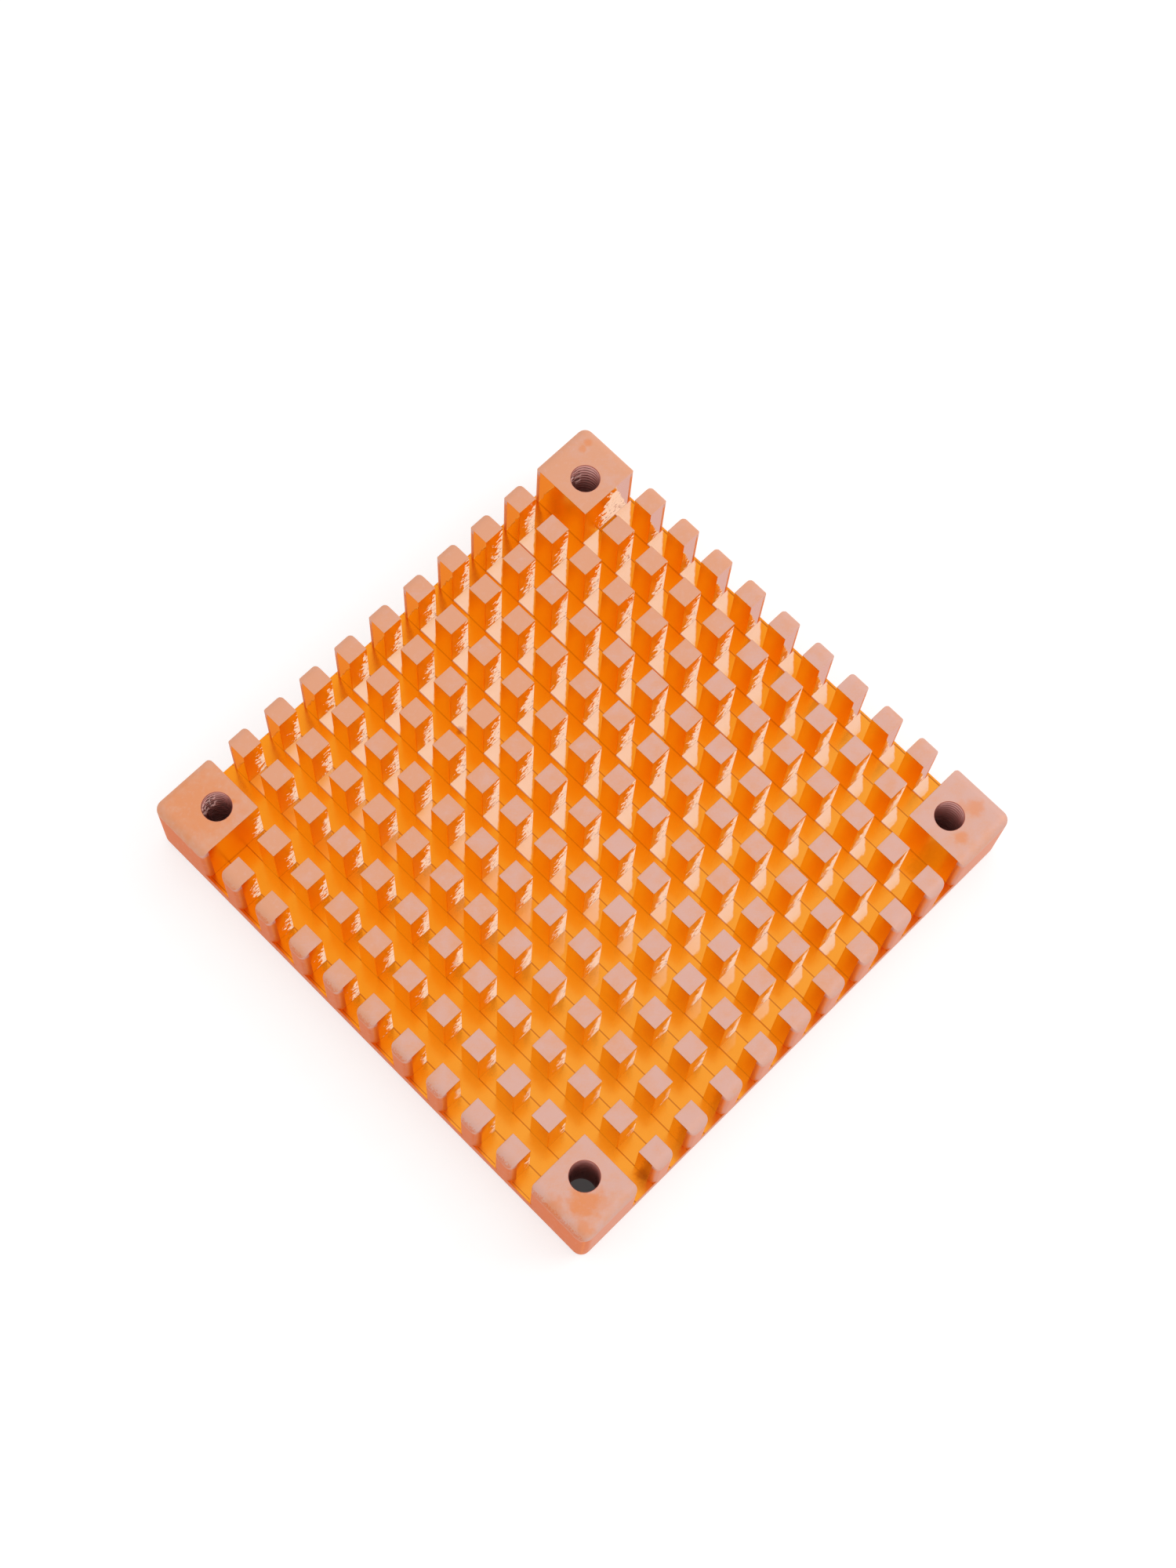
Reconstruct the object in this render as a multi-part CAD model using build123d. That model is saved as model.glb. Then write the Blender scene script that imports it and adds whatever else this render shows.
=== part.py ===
from build123d import *
import os

# Pin-fin heat sink milled from one block of copper.
# A square plate carries a field of square pins, left standing between two sets
# of crossing channels. The four corners are solid posts with tapped holes.
# Origin: centre of the flat underside. X and Y run along the channels, Z is up.

# Pin field, in millimetres
pins_per_side = 13
pins_per_post = 2
pin_width = 2.0
pin_height = 6.0
channel_width = 2.0
cross_channel_extra = 0.1

# Plate. The outer pins and the posts are wider by the margin.
base_thickness = 2.0
margin = 0.2
edge_radius = 0.9
foot_radius = 0.5

# Tapped holes, drawn at the core diameter of the thread
core_diameter = 2.5
mouth_chamfer = 0.06
hole_shift = 0.7

# Sizes that follow from those above
pitch = pin_width + channel_width
plate_side = pins_per_side * pitch - channel_width + 2 * margin
post_side = pins_per_post * pitch - channel_width + margin
total_height = base_thickness + pin_height
hole_spacing = plate_side - post_side - 2 * hole_shift
channels = pins_per_side - 1
short_channels = pins_per_post - 1


def channel_place(number):
    """Middle of one channel, measured across the plate from its centre."""
    return margin + pin_width / 2 + (number + 0.5) * pitch - plate_side / 2


def channel_length(number):
    """Outer channels stop at the posts, and the others run off both sides."""
    if short_channels <= number < channels - short_channels:
        return plate_side + channel_width
    return plate_side - 2 * post_side


def blank():
    """Square block with its upright and upper edges well rounded, and the lower ones less."""
    with BuildPart() as block:
        Box(plate_side, plate_side, total_height, align=(Align.CENTER, Align.CENTER, Align.MIN))
        fillet(block.edges().filter_by(Axis.Z) + block.edges().group_by(Axis.Z)[-1], edge_radius)
        fillet(block.edges().group_by(Axis.Z)[0], foot_radius)
    return block.part


def channel_cutter(depth, turn):
    """Path of the cutter through one set of parallel channels."""
    with BuildPart() as cutter:
        with BuildSketch(Plane.XY.offset(total_height - depth)):
            for number in range(channels):
                with Locations((channel_place(number), 0)):
                    Rectangle(channel_width, channel_length(number))
        extrude(amount=total_height)
    return cutter.part.rotate(Axis.Z, turn)


def hole_cutter():
    """Core bore of a tapped hole, opened a little at both mouths."""
    with BuildPart() as cutter:
        Cylinder(core_diameter / 2, total_height, align=(Align.CENTER, Align.CENTER, Align.MIN))
        for mouth, direction in ((0, 1), (total_height, -1)):
            with Locations(Plane((0, 0, mouth), z_dir=(0, 0, direction))):
                Cone(
                    core_diameter / 2 + mouth_chamfer,
                    core_diameter / 2,
                    mouth_chamfer,
                    align=(Align.CENTER, Align.CENTER, Align.MIN),
                )
    return cutter.part


def heat_sink():
    """Block, less the two sets of channels and the four holes."""
    body = blank()
    body -= channel_cutter(pin_height, 90)
    body -= channel_cutter(pin_height + cross_channel_extra, 0)
    body -= GridLocations(hole_spacing, hole_spacing, 2, 2) * hole_cutter()
    return body


os.makedirs("parts", exist_ok=True)
part = heat_sink()
part.label = "heat_sink"
export_step(part, "parts/heat_sink.step")
print(f"plate {plate_side:.1f} mm square, {total_height:.1f} mm high, {part.volume / 1000:.3f} cm3")
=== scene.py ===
import math

import bpy
import numpy as np
from bpy.props import FloatProperty, FloatVectorProperty, IntProperty, PointerProperty
from mathutils import Matrix, Vector


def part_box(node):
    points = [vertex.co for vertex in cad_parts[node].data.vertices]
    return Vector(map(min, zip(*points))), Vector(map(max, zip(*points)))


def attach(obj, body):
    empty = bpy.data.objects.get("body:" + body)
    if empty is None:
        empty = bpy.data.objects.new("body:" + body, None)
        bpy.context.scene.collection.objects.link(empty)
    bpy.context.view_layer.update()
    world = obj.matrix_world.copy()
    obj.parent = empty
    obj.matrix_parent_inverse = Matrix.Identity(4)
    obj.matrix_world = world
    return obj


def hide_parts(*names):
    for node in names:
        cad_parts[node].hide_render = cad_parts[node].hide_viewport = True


bl_info = {
    "name": "Pin-fin heat sink",
    "version": (1, 0, 0),
    "blender": (4, 5, 0),
    "location": "View3D > Sidebar > Heat Sink",
    "description": "Builds and finishes a copper heat sink milled into a field of square pins",
    "category": "Object",
}

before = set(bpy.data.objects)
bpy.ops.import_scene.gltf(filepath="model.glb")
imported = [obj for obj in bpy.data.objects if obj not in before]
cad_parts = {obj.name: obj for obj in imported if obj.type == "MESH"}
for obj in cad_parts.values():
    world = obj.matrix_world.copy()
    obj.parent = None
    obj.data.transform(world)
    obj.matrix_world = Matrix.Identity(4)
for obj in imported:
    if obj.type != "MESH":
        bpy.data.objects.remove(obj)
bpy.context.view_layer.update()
NODE = "heat_sink"
LOW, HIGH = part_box(NODE)
SIDE = HIGH.x - LOW.x
HEIGHT = HIGH.z - LOW.z
MM = 0.001
# Places of the plate's edge and top as the materials measure them, in millimetres
EDGE_MM = SIDE / 2 / MM
TOP_MM = HEIGHT / MM
# Places closer together than this count as one
TOUCH = 0.001 * MM


def linear(red, green, blue):
    """Colour as Blender's shaders take it, from the usual 0 to 255 screen values."""
    shares = [value / 255 for value in (red, green, blue)]
    return tuple(s / 12.92 if s <= 0.04045 else ((s + 0.055) / 1.055) ** 2.4 for s in shares)


def length_property(name, description, default):
    """A length in metres."""
    return FloatProperty(
        name=name,
        description=description,
        default=default,
        min=0.0,
        precision=5,
        subtype="DISTANCE",
        unit="LENGTH",
    )


def place_property(name, description, default):
    """A place in metres."""
    return FloatVectorProperty(
        name=name,
        description=description,
        default=default,
        size=3,
        subtype="TRANSLATION",
        unit="LENGTH",
    )


def angle_property(name, description, degrees):
    """An angle, kept in radians and shown in degrees."""
    return FloatProperty(
        name=name,
        description=description,
        default=math.radians(degrees),
        subtype="ANGLE",
        unit="ROTATION",
    )


def share_property(name, description, default):
    """A number from 0 to 1."""
    return FloatProperty(
        name=name,
        description=description,
        default=default,
        min=0.0,
        max=1.0,
        subtype="FACTOR",
    )


def colour_property(name, description, default):
    """A colour as the shaders take it."""
    return FloatVectorProperty(
        name=name,
        description=description,
        default=default,
        size=3,
        min=0.0,
        max=1.0,
        subtype="COLOR",
    )


class HeatSinkSizes(bpy.types.PropertyGroup):
    """Sizes of the milled block. The side and the height come from the part in model.glb."""

    pins_per_side: IntProperty(name="Pins per side", description="Pins along one side", default=13, min=5)
    pins_per_post: IntProperty(
        name="Pins per post",
        description="Pins along one side that a corner post takes the place of",
        default=2,
        min=1,
    )
    pin_height: length_property("Pin height", "From the floor of the shallower channels", 6.0 * MM)
    floor_step: length_property("Floor step", "Extra depth of the channels along Y", 0.1 * MM)
    margin: length_property("Margin", "Extra width of the outer pins and the posts", 0.2 * MM)
    edge_radius: length_property("Edge radius", "Rounding of the plate's upper and upright edges", 0.9 * MM)
    foot_radius: length_property("Foot radius", "Rounding of the plate's lower edges", 0.5 * MM)
    pin_corner: length_property("Pin corner", "Rounding of the edge pins' outer upright edges", 0.55 * MM)
    edge_round: length_property("Edge rounding", "Softening of the edges of pins and posts", 0.06 * MM)
    core_diameter: length_property("Thread core", "Diameter over the crests of the tapped holes", 2.5 * MM)
    thread_pitch: length_property("Thread pitch", "Rise of the thread in one turn", 0.5 * MM)
    thread_depth: length_property("Thread depth", "Depth of the thread's groove", 0.25 * MM)
    mouth_chamfer: length_property("Mouth chamfer", "Chamfer at both mouths of a hole", 0.06 * MM)
    hole_shift: length_property("Hole shift", "Shift of a hole from its post's middle, inwards", 0.7 * MM)

    def pin_width(self):
        """Width of a pin, and of a channel."""
        return (SIDE - 2 * self.margin) / (2 * self.pins_per_side - 1)

    def post_side(self):
        """Side of a corner post."""
        return (2 * self.pins_per_post - 1) * self.pin_width() + self.margin

    def hole_place(self):
        """Distance of each hole from both middle planes."""
        return SIDE / 2 - self.post_side() / 2 - self.hole_shift

    def shelf(self):
        """Height of the floors between two pins of a row along Y."""
        return HEIGHT - self.pin_height

    def floor(self):
        """Height of the floors of the channels along Y."""
        return self.shelf() - self.floor_step


class HeatSinkFinish(bpy.types.PropertyGroup):
    """Colours of the copper as each cut has left it, with painted shade, sheen, reflection and glints among
    them.
    """

    ground: colour_property("Ground copper", "Flat tops of pins and posts", linear(220, 173, 160))
    ground_warm: colour_property("Warm copper", "Warmer places on the tops", linear(226, 159, 122))
    # Pale scuffs on the tops and sides; the same colour makes the painted glints in the holes
    pale_scuff_and_glint: colour_property("Pale copper", "Paler, scuffed places on the tops", linear(224, 182, 172))
    # Orange stains on the tops; the same colour is painted shade at the -X ends of the walls along X
    rubbed: colour_property("Rubbed copper", "Orange stains on tops and wall ends", linear(230, 130, 50))
    flank: colour_property("Channel flank", "Smooth walls of the channels", linear(255, 207, 92))
    flank_near: colour_property("Near flank", "Those walls towards -Y and -X", linear(242, 184, 66))
    flank_far: colour_property("Cross flank", "Lower parts of the walls along X", linear(255, 200, 80))
    # Painted sheen: pale colour where the walls along X show a bright reflection
    painted_sheen: colour_property("Chattered flank", "Rough patches on the walls along X", linear(255, 208, 178))
    floor: colour_property("Channel floor", "Floors of the channels", linear(248, 148, 34))
    floor_warm: colour_property("Warm floor", "Deeper orange places on the floors", linear(247, 138, 20))
    floor_gold: colour_property("Golden floor", "Floors towards -Y", linear(250, 160, 54))
    # Painted reflection: pale colour on the floors where they mirror the pale sheen of a wall's -Y face
    painted_floor_reflection: colour_property("Burnished floor", "Paler floor near a wall's foot", linear(253, 203, 172))
    outside: colour_property("Outer sides", "Sides of the plate", linear(224, 172, 158))
    # Orange painted shade below the rim on the sides towards -X and -Y, on the tops' rim towards -X and at
    # the holes' mouths
    warm_side_shade: colour_property("Warm side", "Rubbed sides towards -X and -Y", linear(225, 112, 50))
    flank_side: colour_property("Corner flank", "Edge pins' round corners and +Y ends", linear(240, 132, 44))
    # Stains, and painted shade in a thin line at the walls' feet; it also darkens the floor step, specks on
    # the painted sheen and the sides towards the bottom
    stain_and_shade: colour_property("Tarnish", "Darker film near feet and in corners", linear(160, 54, 28))
    bore: colour_property("Tapped bore", "Walls of the tapped holes", linear(222, 166, 158))


class HeatSinkStage(bpy.types.PropertyGroup):
    """Camera, lamp, surroundings and floor."""

    azimuth: angle_property("Azimuth", "Camera's bearing", 308.58)
    elevation: angle_property("Elevation", "Camera's height above the horizon", 70.96)
    roll: angle_property("Roll", "Camera's turn about its own axis", 6.83)
    distance: length_property("Distance", "From the camera to the point it looks at", 213.9 * MM)
    aim: place_property("Aim", "Point that the camera looks at", (1.86 * MM, 1.52 * MM, HEIGHT))
    lens: FloatProperty(name="Lens", description="Focal length in mm", default=59.28, unit="CAMERA")
    sensor: FloatProperty(name="Sensor", description="Longer side in mm", default=36.0, unit="CAMERA")
    floor_radius: length_property("Floor radius", "Radius of the round floor", 2.0)
    floor_colour: colour_property("Floor", "Colour of the floor", (0.55, 0.55, 0.55))
    floor_glow: share_property("Floor glow", "White added to the floor as it is seen", 0.55)
    hole_glow: share_property("Glow in holes", "Share of that glow on the floor under a hole", 0.06)
    hole_shade: length_property("Shade at holes", "Radius of the dim floor under a hole", 2.0 * MM)
    sky: share_property("Sky", "Light that the white surroundings throw", 0.92)
    lamp: FloatProperty(name="Lamp", description="Power of the soft lamp", default=1.0, unit="POWER")
    lamp_size: length_property("Lamp size", "Side of the soft lamp", 0.4)
    lamp_place: place_property("Lamp place", "Middle of the soft lamp", (0.5, -0.3, 0.35))


class Value:
    """An output of a node. Sums, products and the like of values add Math nodes."""

    def __init__(self, shader, socket):
        self.shader = shader
        self.socket = socket

    def math(self, operation, *others, swap=False):
        given = (*others, self) if swap else (self, *others)
        return self.shader.node("ShaderNodeMath", {"operation": operation}, dict(enumerate(given)))

    def __add__(self, other):
        return self.math("ADD", other)

    def __sub__(self, other):
        return self.math("SUBTRACT", other)

    def __mul__(self, other):
        return self.math("MULTIPLY", other)

    def __truediv__(self, other):
        return self.math("DIVIDE", other)

    def __pow__(self, other):
        return self.math("POWER", other)

    def __gt__(self, other):
        return self.math("GREATER_THAN", other)

    def __lt__(self, other):
        return self.math("LESS_THAN", other)

    def __rsub__(self, other):
        return self.math("SUBTRACT", other, swap=True)

    def __rtruediv__(self, other):
        return self.math("DIVIDE", other, swap=True)

    def __rpow__(self, other):
        return self.math("POWER", other, swap=True)

    __radd__ = __add__
    __rmul__ = __mul__

    def absolute(self):
        return self.math("ABSOLUTE")

    def whole(self):
        return self.math("FLOOR")

    def fraction(self):
        return self.math("FRACT")

    def smallest(self, other):
        return self.math("MINIMUM", other)

    def largest(self, other):
        return self.math("MAXIMUM", other)

    def ramp(self, low, high):
        """0 below low, 1 above high and a smooth rise between, or the fall if low is above high."""
        settings = {"interpolation_type": "SMOOTHSTEP"}
        if low < high:
            return self.shader.node("ShaderNodeMapRange", settings, {0: self, 1: low, 2: high})
        return 1 - self.ramp(high, low)


class Shader:
    """Node tree of one material, or of the world, written as expressions."""

    def __init__(self, owner):
        owner.use_nodes = True
        self.owner = owner
        self.tree = owner.node_tree
        self.tree.nodes.clear()

    def node(self, kind, settings=None, sockets=None, output=0):
        """Adds a node: its settings first, then a value or a link for each socket."""
        made = self.tree.nodes.new(kind)
        for name, value in (settings or {}).items():
            setattr(made, name, value)
        for name, value in (sockets or {}).items():
            if isinstance(value, Value):
                self.tree.links.new(value.socket, made.inputs[name])
            else:
                made.inputs[name].default_value = value
        return Value(self, made.outputs[output])

    def place(self):
        """Object coordinates in millimetres, as a vector."""
        point = self.node("ShaderNodeTexCoord", output="Object")
        return self.vector("SCALE", point, {"Scale": 1 / MM})

    def vector(self, operation, first, sockets):
        return self.node("ShaderNodeVectorMath", {"operation": operation}, {0: first, **sockets})

    def parts(self, vector):
        """X, Y and Z of a vector."""
        split = self.node("ShaderNodeSeparateXYZ", sockets={0: vector}).socket.node
        return [Value(self, output) for output in split.outputs]

    def join(self, x, y, z):
        return self.node("ShaderNodeCombineXYZ", sockets={0: x, 1: y, 2: z})

    def mix(self, share, first, second):
        """Colour between first and second, by a share from 0 to 1."""
        settings = {"data_type": "RGBA"}
        sockets = {0: share, 6: self.colour(first), 7: self.colour(second)}
        return self.node("ShaderNodeMix", settings, sockets, output=2)

    def colour(self, value):
        """A value as it is, or a plain colour with its alpha."""
        return value if isinstance(value, Value) else (*value[:3], 1.0)

    def noise(self, vector, scale, detail=3.0, roughness=0.5):
        """Cloudy noise of about 0.5, with so many clouds to a millimetre."""
        sockets = {"Vector": vector, "Scale": scale, "Detail": detail, "Roughness": roughness}
        return self.node("ShaderNodeTexNoise", sockets=sockets)

    def streaks(self, vector, stretch, scale, **settings):
        """Noise drawn out along the axes for which stretch is small."""
        return self.noise(self.vector("MULTIPLY", vector, {1: stretch}), scale, **settings)

    def chance(self, x, y):
        """A number from 0 to 1 for each pair of whole numbers."""
        return self.node("ShaderNodeTexWhiteNoise", sockets={"Vector": self.join(x, y, 0.0)})

    def stains(self, x, y, ragged, spots):
        """The strongest of several round stains, each an x, y, radius and strength in millimetres."""
        total = None
        for spot_x, spot_y, radius, strength in spots:
            distance = ((x - spot_x) ** 2 + (y - spot_y) ** 2) ** 0.5
            stain = (distance + ragged * radius).ramp(radius, 0.25 * radius) * strength
            total = stain if total is None else total.largest(stain)
        return total

    def seen(self):
        """1 where the camera or a mirror image looks, 0 for plain light."""
        camera = self.node("ShaderNodeLightPath", output="Is Camera Ray")
        mirror = self.node("ShaderNodeLightPath", output="Is Glossy Ray")
        return camera.largest(mirror)

    def turned(self, share, direction):
        """Surface normal with a share of another direction added, as fine tool marks turn it."""
        normal = self.node("ShaderNodeNewGeometry", output="Normal")
        marks = self.vector("SCALE", direction, {"Scale": share})
        return self.vector("NORMALIZE", self.vector("ADD", normal, {1: marks}), {})

    def bump(self, height, strength, distance, normal=None):
        """Normal bent by a height field in millimetres."""
        sockets = {"Strength": strength, "Distance": distance, "Height": height}
        if normal is not None:
            sockets["Normal"] = normal
        return self.node("ShaderNodeBump", sockets=sockets)

    def copper(self, colour, roughness, normal=None, metallic=1.0, slant=(1.0, 0.6, 0.35)):
        """The finished surface, linked to the output. Slant tints its gloss where it is seen edge on."""
        sockets = {
            "Base Color": self.colour(colour),
            "Roughness": roughness,
            "Metallic": metallic,
            "Specular Tint": self.colour(slant),
        }
        if normal is not None:
            sockets["Normal"] = normal
        self.show(self.node("ShaderNodeBsdfPrincipled", sockets=sockets))
        return self.owner

    def show(self, surface, kind="ShaderNodeOutputMaterial"):
        """Links a surface, or the world's background, to the output."""
        output = self.tree.nodes.new(kind)
        self.tree.links.new(surface.socket, output.inputs["Surface"])


# Tint of the channel walls' gloss where they are seen edge on
WALL_SLANT = (1.0, 1.0, 0.45)
UPWARDS = (0.0, 0.0, 1.0)
# Lean of the floor's normal where its painted reflection lies, towards -X and -Y
REFLECTION_LEAN = (-0.13, -0.15, 0.0)
# Stains as x, y, radius and strength, in millimetres
TOP_STAINS = (
    (-22.9, -22.9, 2.1, 0.65),
    (-22.0, -23.6, 1.4, 0.35),
    (-24.3, -24.2, 1.2, 0.5),
    (-24.9, -21.5, 1.3, 0.5),
    (23.4, -22.4, 1.2, 0.45),
    (22.7, -21.7, 0.9, 0.3),
    (20.8, -23.4, 0.8, 0.45),
    (24.0, 23.6, 0.5, 0.5),
    (23.2, 23.6, 0.5, 0.4),
    (-22.3, 22.3, 4.6, 0.4),
    (-20.2, 20.9, 0.5, 0.6),
)
FLANK_STAINS = (
    (19.0, -22.6, 1.6, 0.15),
    (-17.0, -24.4, 1.0, 0.7),
    (-13.0, -24.4, 0.8, 0.5),
    (-9.0, -24.4, 0.7, 0.4),
)
FLOOR_STAINS = (
    (18.3, -21.9, 1.3, 0.15),
    (-3.9, 12.2, 0.6, 0.5),
    (-0.9, 13.9, 0.5, 0.5),
    (-17.0, -24.0, 0.8, 0.5),
)


def pin_number(sizes, coordinate):
    """Number of the pin and the channel after it, as a whole and a broken part, from a place in mm."""
    start = (SIDE / 2 - sizes.margin) / MM
    return (coordinate + start) / (2 * sizes.pin_width() / MM)


def ground_top(sizes, finish):
    """Matt ground tops: faint slanting brush lines, a tint of its own for each pin, and rubbed spots."""
    shader = Shader(bpy.data.materials.new("ground_top"))
    place = shader.place()
    x, y, _ = shader.parts(place)
    tint = shader.chance(pin_number(sizes, x).whole(), pin_number(sizes, y).whole())
    cloud = shader.noise(place, 0.12, detail=2.0)
    slant = shader.join((x + y) * 5, (x - y) * 0.7, 0.0)
    brush = shader.noise(slant, 1.0, detail=2.0)
    grain = shader.noise(place, 7.0, detail=2.0)
    ragged = shader.noise(place, 1.4) * 1.2 - 0.6
    rubbed = shader.stains(x, y, ragged, TOP_STAINS)
    side = y.ramp(-8.0, 14.0) * 0.45
    mottle = shader.noise(place, 0.9, detail=3.0)
    warm = (cloud * 0.9 + mottle * 0.9 + tint * 0.12 + (brush + grain) * 0.3 + side).ramp(1.0, 1.8) * 0.85
    colour = shader.mix(warm, finish.ground, finish.ground_warm)
    colour = shader.mix(rubbed, colour, finish.rubbed)
    light = shader.noise(place, 2.6, detail=4.0, roughness=0.65).ramp(0.52, 0.75) * 0.25
    colour = shader.mix(light, colour, finish.pale_scuff_and_glint)
    # Orange painted shade on the tops' rounded rim towards -X
    rim = (x + grain - 0.5).ramp(0.35 - EDGE_MM, -EDGE_MM) * (20 - y).ramp(0.0, 8.0)
    colour = shader.mix(rim * 0.7, colour, finish.warm_side_shade)
    normal = shader.bump(brush * 0.5 + grain, 0.12, 0.02 * MM)
    return shader.copper(colour, 0.5 + grain * 0.1, normal, metallic=0.2)


def foot_shade(sizes, z):
    """Thin line of painted shade at the foot of a channel's wall."""
    shelf = sizes.shelf() / MM
    return z.ramp(shelf + 0.2, shelf) * 0.4


def smooth_flank(sizes, finish):
    """Smooth, deep orange walls of the channels along Y, with painted shade in a thin line at the foot.

    The edge pins' ends towards +Y are orange, and the surface normal leans upwards there.
    """
    shader = Shader(bpy.data.materials.new("smooth_flank"))
    place = shader.place()
    x, y, z = shader.parts(place)
    cloud = shader.noise(place, 0.5, detail=2.0)
    grain = shader.streaks(place, (1.0, 1.0, 0.25), 3.0)
    near = (y + x * 0.5 + cloud * 6 - 3).ramp(-8.0, -24.0)
    colour = shader.mix(near, finish.flank, finish.flank_near)
    stain = shader.stains(x, y, grain * 1.2 - 0.6, FLANK_STAINS)
    colour = shader.mix(stain, colour, finish.stain_and_shade)
    # Painted shade in a thin line at the wall's foot
    colour = shader.mix(foot_shade(sizes, z), colour, finish.stain_and_shade)
    far_end = (y + (z - TOP_MM) * 0.3 + grain * 0.6).ramp(EDGE_MM - 2.15, EDGE_MM - 2.05)
    colour = shader.mix(far_end, colour, finish.flank_side)
    return shader.copper(colour, 0.2 + grain * 0.06, shader.turned(far_end * 3, UPWARDS), slant=WALL_SLANT)


def place_along(sizes, x, y):
    """Place along a wall in pin widths, from 0 at a pin's -X side to 1 at its +X side.

    The far post, at +X and +Y, is counted back from 2 at its +X side, and the left one, at -X and +Y, from 1.
    """
    along = pin_number(sizes, x).fraction() * 2
    inner = EDGE_MM - sizes.post_side() / MM
    far_post = x.smallest(y) > inner - 0.05
    left_post = x.largest(0 - y) < 0.05 - inner
    along = along + far_post * ((x - EDGE_MM) / 2.6 + 2 - along)
    return along + left_post * ((x + inner) / 2 + 1 - along)


def sheen_patch(shader, sizes, place):
    """The ragged patch of painted sheen towards a wall's +X end, as 1, and the height on the wall, from 0 to
    1.

    The patch starts later along the wall the higher up it is, and later near the corners at -X and at +X +Y.
    """
    x, y, z = shader.parts(place)
    shelf = sizes.shelf() / MM
    height = (z - shelf) / (TOP_MM - shelf)
    left = (y - x).ramp(0.0, 40.0) * 0.35
    near = (x + y).ramp(-16.0, -40.0) * 0.5
    far = (x + y).ramp(10.0, 40.0) * 0.1
    start = (height - 0.45).largest(0.0) + left + near + far + 0.38
    ragged = shader.streaks(place, (0.8, 1.0, 1.1), 2.4, detail=3.0, roughness=0.65) - 0.5
    return (place_along(sizes, x, y) - start + ragged * 2.2).ramp(0.0, 0.08), height


def cross_flank_with_sheen(sizes, finish):
    """Walls of the channels along X: smooth and orange, with a ragged patch of painted sheen on each -Y face,
    a pale colour where those faces show a bright reflection.

    The surface normal leans upwards on the patch and at the edge pins' ends towards +X. The walls' ends
    towards -X get orange painted shade.
    """
    shader = Shader(bpy.data.materials.new("cross_flank_with_sheen"))
    place = shader.place()
    x, y, z = shader.parts(place)
    facing = (pin_number(sizes, y).fraction() + 0.25).fraction() < 0.5
    patch, height = sheen_patch(shader, sizes, place)
    patch = patch * facing
    specks = shader.noise(place, 3.5, detail=3.0, roughness=0.6)
    colour = shader.mix(height.ramp(0.35, 0.75), finish.flank_far, finish.flank)
    # Pale painted sheen on the patch, where the -Y faces show a bright reflection
    colour = shader.mix(patch, colour, finish.painted_sheen)
    dark = specks.ramp(0.55, 0.65) * patch * height.ramp(0.7, 0.2)
    colour = shader.mix(dark * 0.6, colour, finish.stain_and_shade)
    far_end = (x + (z - TOP_MM) * 0.3 + specks * 0.6).ramp(EDGE_MM - 2.3, EDGE_MM - 2.2) * facing
    colour = shader.mix(far_end, colour, finish.outside)
    # Painted shade in a thin line at the wall's foot
    colour = shader.mix(foot_shade(sizes, z), colour, finish.stain_and_shade)
    # Orange painted shade at the walls' ends towards -X
    near_end_shade = (0 - x + (z - TOP_MM) * 0.35 + specks * 0.6).ramp(EDGE_MM - 1.8, EDGE_MM - 0.6)
    colour = shader.mix(near_end_shade, colour, finish.rubbed)
    rough = patch.largest(far_end)
    normal = shader.turned(rough * (specks * 2 + 3), UPWARDS)
    return shader.copper(colour, 0.28 - rough * 0.1, normal, slant=WALL_SLANT)


def channel_floor(sizes, finish):
    """Bright orange floors, golden towards -Y, with a dark line where their heights meet.

    A raised square between two pins has a pale painted reflection in its corner at the foot of the pin's -Y
    face, where the normal also leans.
    """
    shader = Shader(bpy.data.materials.new("channel_floor"))
    place = shader.place()
    x, y, z = shader.parts(place)
    shelf = sizes.shelf() / MM
    raised = z.ramp(shelf - 0.06, shelf - 0.04)
    across = pin_number(sizes, x).fraction() * 4
    ahead = 4 - pin_number(sizes, y).fraction() * 4
    cloud = shader.noise(place, 0.35, detail=3.0)
    grain = shader.noise(place, 2.5, detail=3.0)
    # Painted reflection of a -Y face's pale sheen: a pale corner of each raised square at that face's foot
    corner = (2 - across - ahead * 1.1 + grain * 0.3).ramp(0.0, 0.25) * raised
    reach = (ahead + grain * 0.4 - (y + 25) * 0.035).ramp(1.0, 0.75)
    pale = corner * reach * (x + y * 0.35).ramp(-15.0, 1.0)
    colour = shader.mix(cloud.ramp(0.45, 0.7) * 0.4, finish.floor, finish.floor_warm)
    colour = shader.mix((y + cloud * 8 - 4).ramp(0.0, -12.0), colour, finish.floor_gold)
    colour = shader.mix(pale, colour, finish.painted_floor_reflection)
    edge = (across - 1).absolute()
    step = edge.ramp(0.9, 0.96) * edge.ramp(1.08, 1.03) * (ahead < 2)
    colour = shader.mix(step * 0.55, colour, finish.stain_and_shade)
    stain = shader.stains(x, y, grain * 1.2 - 0.6, FLOOR_STAINS)
    colour = shader.mix(stain, colour, finish.stain_and_shade)
    normal = shader.bump(grain, 0.1, 0.03 * MM, shader.turned(pale, REFLECTION_LEAN))
    return shader.copper(colour, 0.14 + grain * 0.1, normal)


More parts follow.
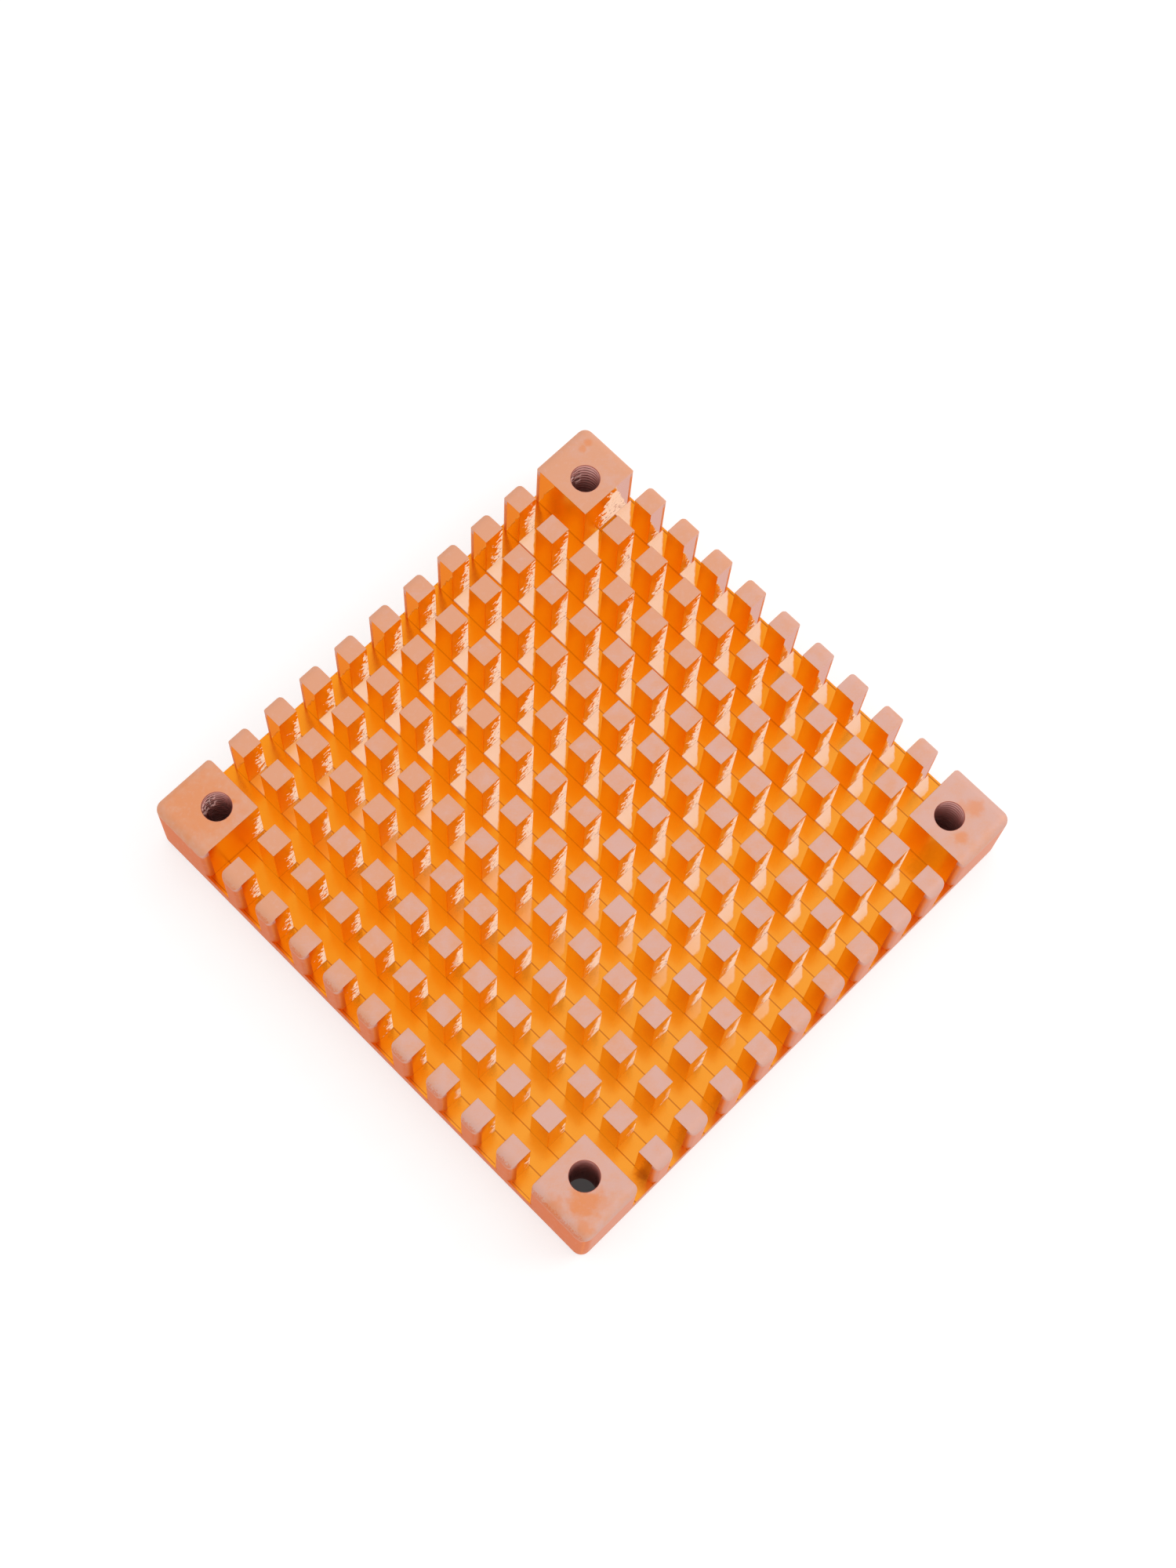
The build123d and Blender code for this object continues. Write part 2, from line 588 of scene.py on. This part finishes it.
def outer_side(sizes, finish):
    """Sides of the plate: pale and rubbed like the tops, with orange painted shade below the rim towards -X.

    That painted shade is half as strong towards -Y, and the round corners of the edge pins are orange all
    round.
    """
    shader = Shader(bpy.data.materials.new("outer_side"))
    place = shader.place()
    x, y, z = shader.parts(place)
    grain = shader.noise(place, 2.0, detail=4.0, roughness=0.6)
    # Orange painted shade below the rim towards -X, and half as strong towards -Y
    left = (x + grain - 0.5).ramp(1.1 - EDGE_MM, 0.5 - EDGE_MM)
    left = left * (z + grain - 0.5).ramp(TOP_MM - 0.6, TOP_MM - 1.4)
    colour = shader.mix(left, finish.outside, finish.warm_side_shade)
    right = (y + grain - 0.5).ramp(1.1 - EDGE_MM, 0.5 - EDGE_MM) * z.ramp(TOP_MM - 0.6, TOP_MM - 1.4)
    colour = shader.mix(right * 0.5, colour, finish.warm_side_shade)
    depth = EDGE_MM - x.absolute().largest(y.absolute())
    corner = (depth + grain * 0.3 - 0.15).ramp(0.1, 0.35) * z.ramp(TOP_MM - 0.5, TOP_MM - 1.1)
    colour = shader.mix(corner, colour, finish.flank_side)
    low = (z + grain * 0.4).ramp(0.65, 0.35)
    colour = shader.mix(low * 0.5, colour, finish.stain_and_shade)
    scuff = grain.ramp(0.55, 0.75)
    colour = shader.mix(scuff * 0.3, colour, finish.pale_scuff_and_glint)
    return shader.copper(colour, 0.45, shader.bump(grain, 0.15, 0.04 * MM), metallic=0.4)


def underside(sizes, finish):
    """Lapped flat underside, with faint straight lines."""
    shader = Shader(bpy.data.materials.new("underside"))
    place = shader.place()
    lines = shader.streaks(place, (0.3, 9.0, 1.0), 1.0)
    cloud = shader.noise(place, 0.1)
    colour = shader.mix(cloud.ramp(0.4, 0.65) * 0.5, finish.ground, finish.ground_warm)
    return shader.copper(colour, 0.25 + lines * 0.12, shader.bump(lines, 0.1, 0.01 * MM))


def tapped_bore(sizes, finish):
    """Threaded walls, dulled by oil, with orange painted shade at the mouth and painted glints in the two
    holes towards +Y.
    """
    shader = Shader(bpy.data.materials.new("tapped_bore"))
    place = shader.place()
    x, y, z = shader.parts(place)
    grain = shader.noise(place, 3.0)
    # Orange painted shade in a ring at the mouth
    colour = shader.mix(z.ramp(TOP_MM - 0.5, TOP_MM) * 0.4, finish.bore, finish.warm_side_shade)
    apart = 2 * sizes.hole_place() / MM
    leftwards = (((y - x) / apart + 0.5).fraction() - 0.5) * apart
    depth = z.ramp(TOP_MM - 3.6, TOP_MM - 2.6) * z.ramp(TOP_MM - 0.4, TOP_MM - 0.7)
    # Painted glints: pale colour on the thread towards -X and +Y, with the normal leaning up to catch the
    # white surroundings
    glint = shader.noise(place, 2.6).ramp(0.5, 0.56) * depth * leftwards.ramp(0.3, 0.9) * (y > 0)
    colour = shader.mix(glint, colour, finish.pale_scuff_and_glint)
    normal = shader.turned(glint * 2.5, UPWARDS)
    return shader.copper(colour, 0.35 + grain * 0.1, normal, metallic=0.8, slant=(1.0, 1.0, 1.0))


FINISHES = (ground_top, smooth_flank, cross_flank_with_sheen, channel_floor, outer_side, underside, tapped_bore)
TOP, FLANK, CROSS_FLANK, FLOOR, OUTSIDE, UNDERSIDE, BORE = range(len(FINISHES))
# Kinds of grid line: on a pin strip, on its wall at the shelf's height, and on a channel's floor
RIDGE, SHELF, CHANNEL = range(3)
# Points across a strip, rings of a collar, and rows in one turn of a thread
STRIP_POINTS, COLLAR_RINGS, THREAD_ROWS = 5, 4, 8
# Two faces meet at a soft or a sharp edge where the product of their normals is below these
SOFT_EDGE = 0.5
SHARP_EDGE = 0.8


def cross_lines(sizes, channel_level):
    """Grid lines across one set of channels, as arrays of place, height and kind.

    The height is the profile that the cutter leaves: HEIGHT on each pin strip and
    channel_level between them. A wall is three lines at one place, at the heights
    HEIGHT, shelf and channel_level, so that both sets of channels share their corners.
    The outer strips have a line for each 15 degrees of the plate's rounded edges.
    """
    width = sizes.pin_width()
    inner = np.linspace(0, 1, STRIP_POINTS) * width
    turn = 1 - np.cos(np.radians(np.arange(0, 91, 15)))
    rounded = np.unique([sizes.edge_radius * turn, sizes.foot_radius * turn])
    outer = np.append(rounded, np.linspace(sizes.edge_radius, width + sizes.margin, STRIP_POINTS - 1)[1:])
    lines = []
    for number in range(sizes.pins_per_side):
        start = sizes.margin + 2 * number * width - SIDE / 2
        strip = start + inner
        if number == 0:
            strip = outer - SIDE / 2
        if number == sizes.pins_per_side - 1:
            strip = SIDE / 2 - outer[::-1]
        lines += [(place, HEIGHT, RIDGE) for place in strip]
        if number < sizes.pins_per_side - 1:
            lines.append((start + width, sizes.shelf(), SHELF))
            lines += [(start + width + step, channel_level, CHANNEL) for step in inner]
            lines.append((start + 2 * width, sizes.shelf(), SHELF))
    place, height, kind = np.array(lines).T
    return place, height, kind.astype(int)


def plan(sizes, x, y):
    """Grid of points with the plate's corners rounded, and how far each lies past the flat part.

    Past the flat part by a and b, a point moves along its ray from there to the
    distance max(a, b), which turns the corner's square into a quarter disc.
    """
    flat = np.stack(np.meshgrid(x, y, indexing="ij"), axis=-1)
    middle = np.clip(flat, sizes.edge_radius - SIDE / 2, SIDE / 2 - sizes.edge_radius)
    past = flat - middle
    far = np.abs(past).max(axis=-1)
    length = np.maximum(np.hypot(past[..., 0], past[..., 1]), MM * 1e-6)
    points = middle + past * (far / length)[..., None]
    return points + pin_corners(sizes, flat), far


def pin_corners(sizes, flat):
    """Shifts that narrow each edge pin towards its outer end, by the arc of its upright corners.

    Across a pin the shift runs from one wall to the other as a straight line through
    0 in the middle, and across a channel back again, up to the middle of the posts' first strip.
    """
    width = sizes.pin_width()
    fall = edge_arc(sizes.pin_corner, np.abs(flat), SIDE / 2 - sizes.pin_corner)[..., ::-1]
    phase = np.mod((flat + SIDE / 2 - sizes.margin) / width, 2.0)
    share = np.where(phase < 1, 1 - 2 * phase, 2 * phase - 3)
    between = np.abs(flat) < SIDE / 2 - sizes.post_side() + width / 2
    return fall * share * between


def edge_arc(radius, far, start):
    """Fall of a rounded edge at the distance far: radius - sqrt(radius^2 - (far - start)^2)."""
    return radius - np.sqrt(np.maximum(radius**2 - np.clip(far - start, 0, radius) ** 2, 0))


def in_post(sizes, place, kind):
    """Lines over a post: those outside its inner wall, and the ridge line of that wall."""
    wall = SIDE / 2 - sizes.post_side()
    reach = np.abs(place) - wall
    return (reach > TOUCH) | ((np.abs(reach) < TOUCH) & (kind == RIDGE))


def grid_faces(rows, columns, keep=None):
    """Quads of a grid of points, numbered row by row."""
    number = np.arange(rows * columns).reshape(rows, columns)
    quads = np.stack([number[:-1, :-1], number[1:, :-1], number[1:, 1:], number[:-1, 1:]], axis=-1)
    return quads.reshape(-1, 4) if keep is None else quads[keep]


def collar_cells(sizes, place, post):
    """Cells between two post lines inside the rounded edge, where a collar takes the grid's place."""
    middle = (place[1:] + place[:-1]) / 2
    return post[1:] & post[:-1] & (np.abs(middle) < SIDE / 2 - sizes.edge_radius)


def milled_face(sizes):
    """Upper face: z = smaller of both profiles and the rounded edge, or that edge alone in a post."""
    x, x_height, x_kind = cross_lines(sizes, sizes.floor())
    y, y_height, y_kind = cross_lines(sizes, sizes.shelf())
    x_post, y_post = in_post(sizes, x, x_kind), in_post(sizes, y, y_kind)
    flat, far = plan(sizes, x, y)
    rim = HEIGHT - edge_arc(sizes.edge_radius, far, 0)
    z = np.minimum(np.minimum(x_height[:, None], y_height[None, :]), rim)
    z = np.where(x_post[:, None] & y_post[None, :], rim, z)
    post_wall = np.abs(np.abs(y) - (SIDE / 2 - sizes.post_side())) < TOUCH
    z = np.where(x_post[:, None] & (post_wall & (y_kind == SHELF))[None, :], sizes.shelf(), z)
    hole = collar_cells(sizes, x, x_post)[:, None] & collar_cells(sizes, y, y_post)[None, :]
    return np.concatenate([flat, z[..., None]], axis=-1), grid_faces(len(x), len(y), ~hole)


def outer_walls(sizes, face):
    """Sides of the plate: each border point of the milled face carried down, z = min(border, level)."""
    border = np.concatenate([face[:-1, 0], face[-1, :-1], face[:0:-1, -1], face[0, ::-1]])
    levels = np.array([sizes.foot_radius, sizes.floor(), sizes.shelf(), HEIGHT - sizes.edge_radius])
    points = np.repeat(border[:, None], len(levels), axis=1)
    points[:, :, 2] = np.minimum(points[:, :, 2], levels)
    return points, grid_faces(len(border), len(levels))


def lapped_face(sizes):
    """Underside: a flat grid, raised round the outside by the arc of the lower edge."""
    x, _, kind = cross_lines(sizes, sizes.floor())
    post = in_post(sizes, x, kind)
    flat, far = plan(sizes, x, x)
    z = edge_arc(sizes.foot_radius, far, sizes.edge_radius - sizes.foot_radius)
    cells = collar_cells(sizes, x, post)
    points = np.concatenate([flat, z[..., None]], axis=-1)
    return points, grid_faces(len(x), len(x), ~(cells[:, None] & cells[None, :]))[:, ::-1]


def collar(sizes, height):
    """Flat ring round a hole: point = (1 - t) circle + t square, for t from 0 to 1."""
    x, _, kind = cross_lines(sizes, sizes.floor())
    post = in_post(sizes, x, kind) & (x < 0) & (x > sizes.edge_radius - SIDE / 2 - TOUCH)
    step = np.unique(np.round(x[post], 9))
    low, high = np.full(len(step), step[0]), np.full(len(step), step[-1])
    square = np.concatenate(
        [
            np.stack([step, low], axis=-1)[:-1],
            np.stack([high, step], axis=-1)[:-1],
            np.stack([step[::-1], high], axis=-1)[:-1],
            np.stack([low, step[::-1]], axis=-1),
        ]
    )
    mouth = sizes.core_diameter / 2 + sizes.mouth_chamfer
    circle = bore_circle(len(square)) * mouth - sizes.hole_place()
    share = np.linspace(0, 1, COLLAR_RINGS)[:, None, None]
    flat = (1 - share) * circle + share * square
    points = np.concatenate([flat, np.full((*flat.shape[:2], 1), height)], axis=-1)
    return points, grid_faces(*flat.shape[:2])


def bore_circle(count):
    """Unit circle, closed, from the corner direction on."""
    turn = -0.75 * np.pi + np.linspace(0, 2 * np.pi, count)
    return np.stack([np.cos(turn), np.sin(turn)], axis=-1)


def thread(sizes, count):
    """Wall of a tapped hole: radius = core + depth * groove(z / pitch - turns), opened at both mouths.

    The groove is 3.2 |phase - 0.5| - 0.4, kept between 0 and 1, and fades out over half a turn at a mouth.
    """
    rows = THREAD_ROWS * round(HEIGHT / sizes.thread_pitch) + 1
    z = np.linspace(0, HEIGHT, rows)[:, None]
    turns = np.linspace(0, 1, count)[None, :]
    phase = np.mod(z / sizes.thread_pitch - turns, 1.0)
    groove = np.clip(3.2 * np.abs(phase - 0.5) - 0.4, 0, 1)
    mouth = np.minimum(z, HEIGHT - z)
    groove = groove * np.clip((mouth - sizes.mouth_chamfer) / sizes.thread_pitch * 2, 0, 1)
    chamfer = np.clip(sizes.mouth_chamfer - mouth, 0, None)
    radius = sizes.core_diameter / 2 + chamfer + sizes.thread_depth * groove
    circle = radius[..., None] * bore_circle(count)
    level = np.broadcast_to(z[..., None], (rows, count, 1))
    return np.concatenate([circle, level], axis=-1), grid_faces(rows, count)


def joined(patches):
    """Points and quads of all patches together, with like points merged and unused ones left out."""
    points, faces, count = [], [], 0
    for patch, quads in patches:
        points.append(patch.reshape(-1, 3))
        faces.append(quads + count)
        count += patch[..., 0].size
    points, faces = np.concatenate(points), np.concatenate(faces)
    _, keep, merged = np.unique(np.round(points / MM, 5), axis=0, return_index=True, return_inverse=True)
    used, corners = np.unique(merged.reshape(-1)[faces], return_inverse=True)
    return points[keep][used], corners.reshape(-1, 4)


def clean_faces(faces):
    """Quads and triangles without repeated corners. A quad folded to an edge is dropped."""
    repeat = faces == np.roll(faces, -1, axis=1)
    across = (faces[:, 0] == faces[:, 2]) | (faces[:, 1] == faces[:, 3])
    count = 4 - repeat.sum(axis=1)
    quads = faces[(count == 4) & ~across]
    thin = faces[(count == 3) & ~across]
    triangles = thin[~repeat[(count == 3) & ~across]].reshape(-1, 3)
    return quads.tolist() + triangles.tolist()


def block_mesh(sizes):
    """The whole block as one closed mesh."""
    face, face_quads = milled_face(sizes)
    patches = [(face, face_quads), outer_walls(sizes, face), lapped_face(sizes)]
    for x_sign in (-1, 1):
        for y_sign in (-1, 1):
            mirror = np.array([-x_sign, -y_sign, 1])
            for height, side in ((0.0, -1), (HEIGHT, 1)):
                ring, quads = collar(sizes, height)
                patches.append((ring * mirror, quads if side * x_sign * y_sign > 0 else quads[:, ::-1]))
            wall, quads = thread(sizes, ring.shape[1])
            centre = np.array([x_sign, y_sign, 0]) * sizes.hole_place()
            patches.append((wall + centre, quads))
    points, faces = joined(patches)
    mesh = bpy.data.meshes.new("heat_sink_block")
    mesh.from_pydata(points, [], clean_faces(faces))
    mesh.update()
    return mesh


def read(items, name, width=1, kind=float):
    """One attribute of a mesh's faces, edges, corners or points, as an array with a row for each."""
    values = np.empty((len(items), width), kind)
    items.foreach_get(name, values.reshape(-1))
    return values if width > 1 else values[:, 0]


def face_finishes(sizes, mesh):
    """Index into FINISHES for each face, from which way the face looks and where it lies."""
    normal, middle = read(mesh.polygons, "normal", 3), read(mesh.polygons, "center", 3)
    reach = np.abs(middle[:, :2])
    index = np.where(np.abs(normal[:, 0]) > np.abs(normal[:, 1]), FLANK, CROSS_FLANK)
    index[normal[:, 2] > 0.9] = FLOOR
    index[(index != FLOOR) & (reach.max(axis=1) > SIDE / 2 - 1.2 * sizes.pin_corner)] = OUTSIDE
    high = middle[:, 2] > HEIGHT - sizes.edge_radius
    index[(normal[:, 2] > 0.02) & high] = TOP
    past = np.clip(reach - (SIDE / 2 - sizes.edge_radius), 0, None)
    index[(np.hypot(*past.T) > 0.98 * sizes.edge_radius) & ~high] = OUTSIDE
    low = past.max(axis=1) > sizes.edge_radius - sizes.foot_radius
    index[(middle[:, 2] < sizes.foot_radius) & low] = OUTSIDE
    index[(normal[:, 2] < -0.5) & ~low] = UNDERSIDE
    from_bore = np.hypot(*(reach - sizes.hole_place()).T) - sizes.core_diameter / 2
    threaded = (from_bore < 1.1 * sizes.thread_depth) & (np.abs(normal[:, 2]) < 0.95)
    index[threaded | (from_bore < sizes.mouth_chamfer / 2)] = BORE
    return index


def edge_marks(sizes, mesh, finishes):
    """Bevel weight 1 on edges above the shelf whose faces look more than 60 degrees apart, bores left out.

    The second array marks the other creases, which stay sharp.
    """
    corner_edge = read(mesh.loops, "edge_index", kind=int)
    corners = read(mesh.polygons, "loop_total", kind=int)
    face = np.repeat(np.arange(len(corners)), corners)[np.argsort(corner_edge, kind="stable")].reshape(-1, 2)
    normal = read(mesh.polygons, "normal", 3)
    alike = (normal[face[:, 0]] * normal[face[:, 1]]).sum(axis=1)
    height = read(mesh.vertices, "co", 3)[:, 2][read(mesh.edges, "vertices", 2, int)]
    above = height.max(axis=1) > sizes.shelf() + 10 * TOUCH
    above = above & (height.min(axis=1) > sizes.floor() - 10 * TOUCH)
    in_bore = finishes[face] == BORE
    soft = (alike < SOFT_EDGE) & above & ~in_bore.any(axis=1)
    sharp = (alike < SHARP_EDGE) & ~soft & ~in_bore.all(axis=1)
    return soft.astype(np.float32), sharp


class HEATSINK_OT_block(bpy.types.Operator):
    """Mill the block: plate, pins, posts and tapped holes in one mesh"""

    bl_idname = "heatsink.block"
    bl_label = "Mill Block"

    def execute(self, context):
        sizes, finish = context.scene.heat_sink_sizes, context.scene.heat_sink_finish
        mesh = block_mesh(sizes)
        for make in FINISHES:
            mesh.materials.append(make(sizes, finish))
        finishes = face_finishes(sizes, mesh)
        mesh.polygons.foreach_set("material_index", finishes)
        mesh.polygons.foreach_set("use_smooth", np.ones(len(finishes), bool))
        soft, sharp = edge_marks(sizes, mesh, finishes)
        mesh.attributes.new("bevel_weight_edge", "FLOAT", "EDGE").data.foreach_set("value", soft)
        mesh.attributes.new("sharp_edge", "BOOLEAN", "EDGE").data.foreach_set("value", sharp)
        block = bpy.data.objects.new("heat_sink_block", mesh)
        context.scene.collection.objects.link(block)
        bevel = block.modifiers.new("soft_edges", "BEVEL")
        bevel.limit_method = "WEIGHT"
        bevel.width = sizes.edge_round
        bevel.segments = 2
        bevel.harden_normals = True
        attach(block, "root")
        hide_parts(NODE)
        return {"FINISHED"}


class HEATSINK_OT_stage(bpy.types.Operator):
    """Set up the pale floor, the white surroundings, the soft lamp and the camera"""

    bl_idname = "heatsink.stage"
    bl_label = "Set Stage"

    def execute(self, context):
        stage = context.scene.heat_sink_stage
        add_floor(context.scene, stage)
        add_sky(context.scene, stage)
        add_lamp(context.scene, stage)
        add_camera(context.scene, stage)
        context.scene.view_settings.view_transform = "Standard"
        return {"FINISHED"}


def add_floor(scene, stage):
    """Flat disc that the heat sink stands on, dim where it shows through the holes."""
    turn = np.linspace(0, 2 * np.pi, 64, endpoint=False)
    circle = np.stack([np.cos(turn), np.sin(turn)], axis=-1) * stage.floor_radius
    mesh = bpy.data.meshes.new("stage_floor")
    mesh.from_pydata(np.insert(circle, 2, LOW.z, axis=1), [], [range(len(turn))])
    shader = Shader(bpy.data.materials.new("stage_floor"))
    x, y, _ = shader.parts(shader.place())
    hole = scene.heat_sink_sizes.hole_place() / MM
    from_hole = ((x.absolute() - hole) ** 2 + (y.absolute() - hole) ** 2) ** 0.5
    beside = (from_hole > stage.hole_shade / MM) * (1 - stage.hole_glow) + stage.hole_glow
    matt = shader.node("ShaderNodeBsdfDiffuse", sockets={"Color": shader.colour(stage.floor_colour)})
    white = shader.node("ShaderNodeEmission", sockets={"Strength": 1.0})
    share = shader.seen() * beside * stage.floor_glow
    glow = shader.node("ShaderNodeMixShader", sockets={0: share, 2: white})
    shader.show(shader.node("ShaderNodeAddShader", sockets={0: matt, 1: glow}))
    mesh.materials.append(shader.owner)
    floor = bpy.data.objects.new("stage_floor", mesh)
    scene.collection.objects.link(floor)


def add_sky(scene, stage):
    """White surroundings, seen at full white by the camera and in reflections."""
    scene.world = bpy.data.worlds.new("studio")
    shader = Shader(scene.world)
    strength = shader.seen() * (1 - stage.sky) + stage.sky
    sockets = {"Color": shader.colour((1.0, 1.0, 1.0)), "Strength": strength}
    shader.show(shader.node("ShaderNodeBackground", sockets=sockets), "ShaderNodeOutputWorld")


def add_lamp(scene, stage):
    """One wide soft lamp above the right-hand side, turned towards the heat sink."""
    light = bpy.data.lights.new("soft_lamp", "AREA")
    light.energy = stage.lamp
    light.size = stage.lamp_size
    lamp = bpy.data.objects.new("soft_lamp", light)
    lamp.location = stage.lamp_place
    lamp.rotation_euler = (-lamp.location).to_track_quat("-Z", "Y").to_euler()
    scene.collection.objects.link(lamp)


def add_camera(scene, stage):
    """Camera at the photo's angle, looking at a point in the plane of the pin tops."""
    level = math.cos(stage.elevation)
    x, y = math.sin(stage.azimuth) * level, -math.cos(stage.azimuth) * level
    back = Vector((x, y, math.sin(stage.elevation)))
    turn = (-back).to_track_quat("-Z", "Y").to_matrix() @ Matrix.Rotation(stage.roll, 3, "Z")
    camera = bpy.data.objects.new("camera", bpy.data.cameras.new("camera"))
    camera.matrix_world = Matrix.LocRotScale(Vector(stage.aim) + back * stage.distance, turn, None)
    camera.data.lens = stage.lens
    camera.data.sensor_width = stage.sensor
    camera.data.clip_start = 0.01
    scene.collection.objects.link(camera)
    scene.camera = camera


class HEATSINK_PT_panel(bpy.types.Panel):
    """Sizes, colours and steps in the sidebar"""

    bl_idname = "HEATSINK_PT_panel"
    bl_label = "Heat Sink"
    bl_space_type = "VIEW_3D"
    bl_region_type = "UI"
    bl_category = "Heat Sink"

    def draw(self, context):
        for group_name in GROUPS:
            group = getattr(context.scene, group_name)
            box = self.layout.box()
            for name in group.__annotations__:
                box.prop(group, name)
        for operator in OPERATORS:
            self.layout.operator(operator.bl_idname)


GROUPS = {
    "heat_sink_sizes": HeatSinkSizes,
    "heat_sink_finish": HeatSinkFinish,
    "heat_sink_stage": HeatSinkStage,
}
OPERATORS = (HEATSINK_OT_block, HEATSINK_OT_stage)


def register():
    for kind in (*GROUPS.values(), *OPERATORS, HEATSINK_PT_panel):
        bpy.utils.register_class(kind)
    for name, group in GROUPS.items():
        setattr(bpy.types.Scene, name, PointerProperty(type=group))


def unregister():
    for name in GROUPS:
        delattr(bpy.types.Scene, name)
    for kind in (HEATSINK_PT_panel, *reversed(OPERATORS), *reversed(GROUPS.values())):
        bpy.utils.unregister_class(kind)


def main():
    register()
    bpy.ops.heatsink.block()
    bpy.ops.heatsink.stage()


if __name__ == "__main__":
    main()
